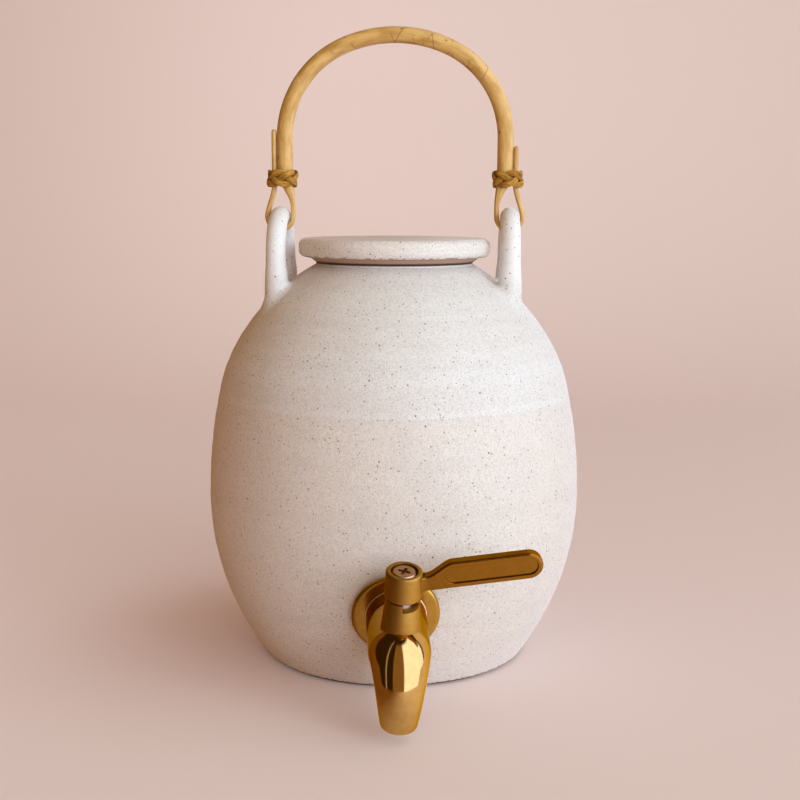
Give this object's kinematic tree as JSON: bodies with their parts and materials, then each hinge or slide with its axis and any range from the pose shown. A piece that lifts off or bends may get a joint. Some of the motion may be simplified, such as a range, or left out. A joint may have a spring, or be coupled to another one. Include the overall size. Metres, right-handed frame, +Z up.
{
  "type": "water dispenser",
  "caption": "Speckled stoneware crock for drinking water, with a lift-off slab lid, a swinging bent-cane handle tied to clay ears, and a gold lever tap low on its front.",
  "frame": {"origin": "middle of the crock's flat foot, on the surface that it stands on", "axes": "+Z up along the crock's axis, -Y to the front, where the tap points, and +X to the right of someone facing the tap, where the shut lever points"},
  "size_m": [0.164, 0.2024, 0.2734],
  "materials": {
    "glaze": "matt white speckled stoneware glaze",
    "lid_glaze": "matt white speckled stoneware glaze, bare clay under the rim",
    "cane": "clear golden cane with dark flecks",
    "rattan": "flat split rattan",
    "gold_metal": "polished gold-coloured brass",
    "steel": "bright stainless steel",
    "silicone": "translucent white silicone",
    "ptfe": "white slippery plastic",
    "seal": "black seal rubber"
  },
  "bodies": {
    "crock": {"crock": "glaze", "left_ear": "glaze", "right_ear": "glaze", "tap_body": "gold_metal", "tap_flange": "gold_metal", "outer_seal": "silicone", "inner_seal": "silicone", "inner_washer": "steel", "lock_nut": "steel", "valve_sleeve": "ptfe", "bearing_washer": "ptfe", "bottom_cap": "gold_metal", "cap_o_ring": "seal"},
    "lid": {"lid": "lid_glaze"},
    "handle": {"cane_handle": "cane", "left_binding": "rattan", "right_binding": "rattan"},
    "lever": {"lever": "gold_metal", "lever_screw": "steel", "spring_washer": "steel", "valve_plug": "steel", "stem_o_rings": "seal"}
  },
  "joints": [
    {"name": "lever_turn", "type": "hinge", "parent": "crock", "child": "lever", "pos_m": [0.00773, -0.10559, 0.05148], "axis": [-0.0639, 0.2742, -0.9595], "range_deg": [0, 90]},
    {"name": "lid_lift", "type": "slide", "parent": "crock", "child": "lid", "axis": [0, 0, 1], "range_m": [0, 0.05]},
    {"name": "handle_swing", "type": "hinge", "parent": "crock", "child": "handle", "pos_m": [0, 0, 0.1753], "axis": [1, 0, 0], "range_deg": [-75, 75]}
  ]
}
